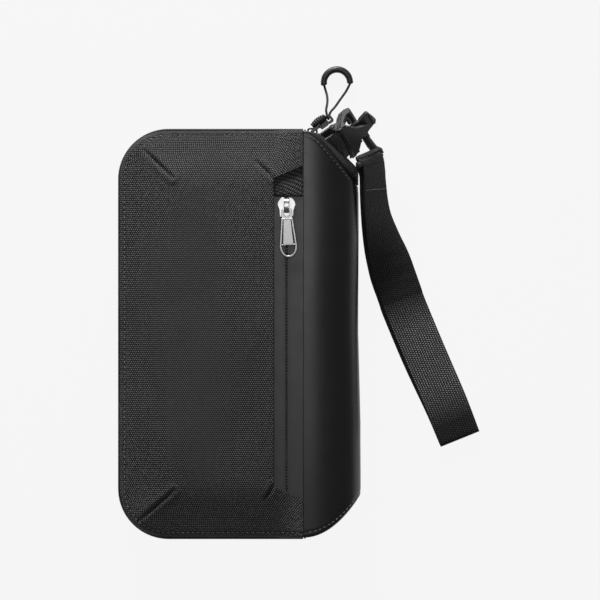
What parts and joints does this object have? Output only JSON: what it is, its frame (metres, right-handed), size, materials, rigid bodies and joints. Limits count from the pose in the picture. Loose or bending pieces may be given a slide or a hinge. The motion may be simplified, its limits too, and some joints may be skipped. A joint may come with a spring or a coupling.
{
  "type": "zippered pouch",
  "caption": "Slim book-style zippered pouch with a coated spine, a raised front zip pocket, a cord puller and a removable wrist strap on a moulded hook.",
  "frame": {"origin": "centre of the back panel's flat outer face", "axes": "+X towards the coated spine, +Y towards the pouch's top along its length, +Z out of the front panel"},
  "size_m": [0.1769, 0.2331, 0.0335],
  "materials": {
    "ballistic_nylon": "coarse plain weave, matt with a slight sheen",
    "coated_fabric": "smooth coated fabric, satin",
    "coated_tape": "smooth coated zip tape, satin",
    "foam": "closed-cell foam, matt",
    "lining": "thin plain weave, matt",
    "zip_tape": "fine herringbone tape, matt",
    "zip_coil": "moulded nylon, satin",
    "gunmetal": "polished gunmetal",
    "black_metal": "black nickel, satin",
    "cord": "braided cord, matt",
    "grip_rubber": "moulded grip, satin",
    "black_plastic": "moulded acetal, fine texture",
    "webbing": "herringbone nylon webbing, slight sheen"
  },
  "bodies": {
    "root": {"back_panel": "ballistic_nylon", "back_foam": "foam", "back_lining": "lining", "inner_slip_pocket": "lining", "back_gusset": "ballistic_nylon", "back_zip_tape": "zip_tape", "back_zip_teeth": "zip_coil", "zip_end_tapes": "zip_tape", "spine_panel": "coated_fabric", "spine_stiffener": "foam", "spine_cap_top": "ballistic_nylon", "spine_cap_bottom": "ballistic_nylon", "webbing_loop": "webbing"},
    "front_cover": {"front_panel": "ballistic_nylon", "front_backing": "foam", "front_lining": "lining", "front_gusset": "ballistic_nylon", "front_zip_tape": "zip_tape", "front_zip_teeth": "zip_coil", "seam_binding": "ballistic_nylon", "zip_garage_top": "ballistic_nylon", "zip_garage_bottom": "ballistic_nylon", "pocket_tape_left": "coated_tape", "pocket_tape_right": "coated_tape", "pocket_coil_left": "zip_coil", "pocket_coil_right": "zip_coil", "pocket_zip_stop": "zip_coil"},
    "pocket_slider": {"pocket_slider_body": "gunmetal"},
    "pocket_pull": {"pocket_pull_tab": "gunmetal"},
    "main_slider": {"main_slider_body": "black_metal"},
    "main_pull": {"main_pull_tab": "black_metal", "puller_hitch": "cord", "puller_cord": "cord", "puller_grip": "grip_rubber"},
    "hook": {"hook_body": "black_plastic"},
    "gate": {"hook_gate": "black_plastic"},
    "strap_carrier": {"strap_hook": "black_plastic"},
    "strap": {"wrist_strap": "webbing"}
  },
  "joints": [
    {"name": "front_cover_hinge", "type": "hinge", "parent": "root", "child": "front_cover", "pos_m": [0.032, 0, 0.03], "axis": [0, 1, 0], "range_deg": [0, 110]},
    {"name": "main_zip_slide", "type": "slide", "parent": "root", "child": "main_slider", "axis": [-1, 0, 0], "range_m": [0, 0.062]},
    {"name": "main_pull_swing", "type": "hinge", "parent": "main_slider", "child": "main_pull", "pos_m": [0.0362, 0.1, 0.015], "axis": [0, 0, 1], "range_deg": [0, 85]},
    {"name": "pocket_zip_slide", "type": "slide", "parent": "front_cover", "child": "pocket_slider", "axis": [0, -1, 0], "range_m": [0, 0.125]},
    {"name": "pocket_pull_swing", "type": "hinge", "parent": "pocket_slider", "child": "pocket_pull", "pos_m": [0.0235, 0.0611, 0.032], "axis": [-1, 0, 0], "range_deg": [0, 150]},
    {"name": "hook_swing", "type": "hinge", "parent": "root", "child": "hook", "pos_m": [0.04994, 0.09568, 0.01477], "axis": [-0.3531, 0.5043, 0.788], "range_deg": [0, 20]},
    {"name": "gate_flex", "type": "hinge", "parent": "hook", "child": "gate", "pos_m": [0.05545, 0.09896, 0.01514], "axis": [-0.3531, 0.5043, 0.788], "range_deg": [0, 6], "stiffness_Nm_per_rad": 0.05},
    {"name": "strap_hook_swing", "type": "hinge", "parent": "hook", "child": "strap_carrier", "pos_m": [0.06103, 0.09971, 0.00955], "axis": [-0.8192, -0.5736, 0], "range_deg": [0, 40]},
    {"name": "strap_swing", "type": "hinge", "parent": "strap_carrier", "child": "strap", "pos_m": [0.0646, 0.0858, 0.0136], "axis": [-0.5026, -0.2451, 0.829], "range_deg": [0, 60]}
  ]
}
